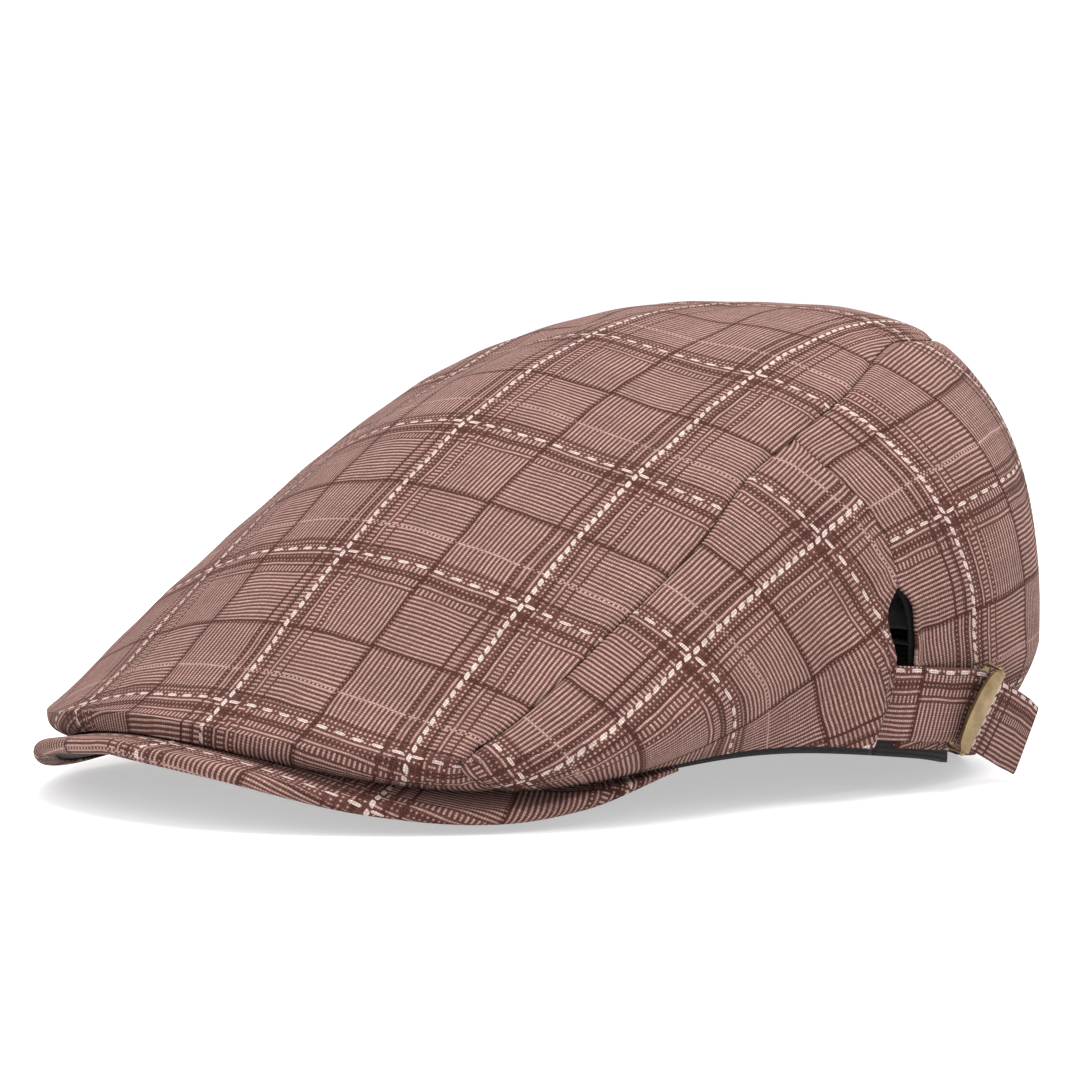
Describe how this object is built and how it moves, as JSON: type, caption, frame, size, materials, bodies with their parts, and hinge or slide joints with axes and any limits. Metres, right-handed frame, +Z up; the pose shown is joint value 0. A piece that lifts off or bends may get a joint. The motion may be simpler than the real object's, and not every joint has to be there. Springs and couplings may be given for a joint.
{
  "type": "flat cap",
  "caption": "Soft plaid flat cap: a low top panel pulled over a short stiff brim, side and rear panels, lining, sweatband and a side strap held by a clamping buckle.",
  "frame": {"origin": "under the middle of the cap's box, on the surface that the cap stands on", "axes": "+Y towards the back of the cap, +Z up, +X towards the wearer's left, where the strap is"},
  "size_m": [0.2162, 0.2678, 0.1175],
  "materials": {
    "plaid_cloth": "yarn-dyed log-cabin plaid, mauve brown with white dashed stripes, matt",
    "dark_tape": "matt woven tape",
    "brim_plastic": "plain moulded sheet",
    "under_cloth": "dark plain weave, matt",
    "sweatband_cloth": "black twill tape, matt",
    "label_cloth": "blank woven label",
    "lining_cloth": "dark lining, slight sheen",
    "antique_brass": "antique, satin, darkened in the hollows"
  },
  "bodies": {
    "cap": {"crown_top_panel": "plaid_cloth", "side_panel_left": "plaid_cloth", "side_panel_right": "plaid_cloth", "rear_panel_left": "plaid_cloth", "rear_panel_right": "plaid_cloth", "brim_cover_top": "plaid_cloth", "adjuster_strap": "plaid_cloth", "keyhole_facing": "dark_tape", "rear_seam_tape": "dark_tape", "brim_board": "brim_plastic", "brim_cover_under": "under_cloth", "sweatband": "sweatband_cloth", "size_label": "label_cloth", "lining_top": "lining_cloth", "lining_left": "lining_cloth", "lining_right": "lining_cloth"},
    "buckle": {"buckle_frame": "antique_brass", "buckle_pin": "antique_brass", "anchor_tab": "dark_tape"},
    "lever": {"buckle_lever": "antique_brass"}
  },
  "joints": [
    {"name": "buckle_slide", "type": "hinge", "parent": "cap", "child": "buckle", "pos_m": [0.01061, 0.04509, 0.0212], "axis": [0, 0.0872, 0.9962], "range_deg": [-5.3, 1]},
    {"name": "buckle_lever_turn", "type": "hinge", "parent": "buckle", "child": "lever", "pos_m": [0.10387, 0.04787, 0.01978], "axis": [0.2283, 0.3745, 0.8987], "range_deg": [0, 100]}
  ]
}
